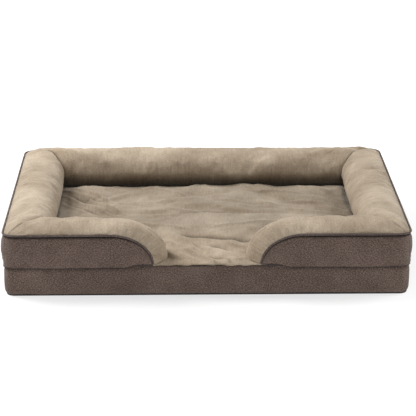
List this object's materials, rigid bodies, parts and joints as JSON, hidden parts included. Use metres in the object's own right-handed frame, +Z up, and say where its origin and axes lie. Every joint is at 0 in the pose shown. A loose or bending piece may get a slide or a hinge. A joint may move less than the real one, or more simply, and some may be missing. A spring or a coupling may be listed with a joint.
{
  "type": "pet cushion bed",
  "caption": "Rectangular pet bed: foam base in a zipped fabric cover, with a stuffed bolster round the back and sides and two short front arms either side of an entrance.",
  "frame": {"origin": "centre of the underside, on the surface that the bed lies on", "axes": "+X along the width to the right, +Y to the back, +Z up; the entrance is at -Y"},
  "size_m": [0.9252, 0.6976, 0.1677],
  "materials": {
    "woven": "brown heather woven polyester, matt",
    "plush": "short taupe plush, soft sheen",
    "cord": "woven fabric over a cord",
    "grip": "dark bottom cloth with grip dots",
    "lining": "plain non-woven lining",
    "liner": "coated waterproof liner, satin",
    "foam": "open-cell egg-crate foam",
    "fibre": "polyester fibre filling",
    "tape": "woven zip tape",
    "nylon": "nylon zip coil",
    "zinc": "die-cast zinc, dark enamel",
    "label": "blank satin label"
  },
  "bodies": {
    "bed": {"base_foam": "foam", "base_liner": "liner", "base_bottom_panel": "grip", "base_front_panel": "woven", "base_left_panel": "woven", "base_right_panel": "woven", "base_back_panel_lower": "woven", "base_back_panel_upper": "woven", "base_top_border": "woven", "sleep_panel": "plush", "care_label": "label", "bolster_floor": "lining", "fill_left": "fibre", "fill_right": "fibre", "fill_back": "fibre", "fill_front_left": "fibre", "fill_front_right": "fibre", "plush_left": "plush", "plush_right": "plush", "plush_back": "plush", "plush_front_left": "plush", "plush_front_right": "plush", "band_left": "woven", "band_right": "woven", "band_back": "woven", "band_front_left": "woven", "band_front_right": "woven", "piping": "cord", "zip_tape_lower": "tape", "zip_tape_upper": "tape", "zip_coil_lower": "nylon", "zip_coil_upper": "nylon", "zip_stop_left": "zinc", "zip_stop_right": "zinc", "zip_end_tab_left": "woven", "zip_end_tab_right": "woven"},
    "zip_slider": {"zip_slider": "zinc"},
    "zip_pull": {"zip_pull": "zinc"}
  },
  "joints": [
    {"name": "zip_slide", "type": "slide", "parent": "bed", "child": "zip_slider", "axis": [-1, 0, 0], "range_m": [0, 0.776]},
    {"name": "zip_pull_hinge", "type": "hinge", "parent": "zip_slider", "child": "zip_pull", "pos_m": [0.388, 0.3462, 0.0363], "axis": [0, 0, -1], "range_deg": [0, 170]}
  ]
}
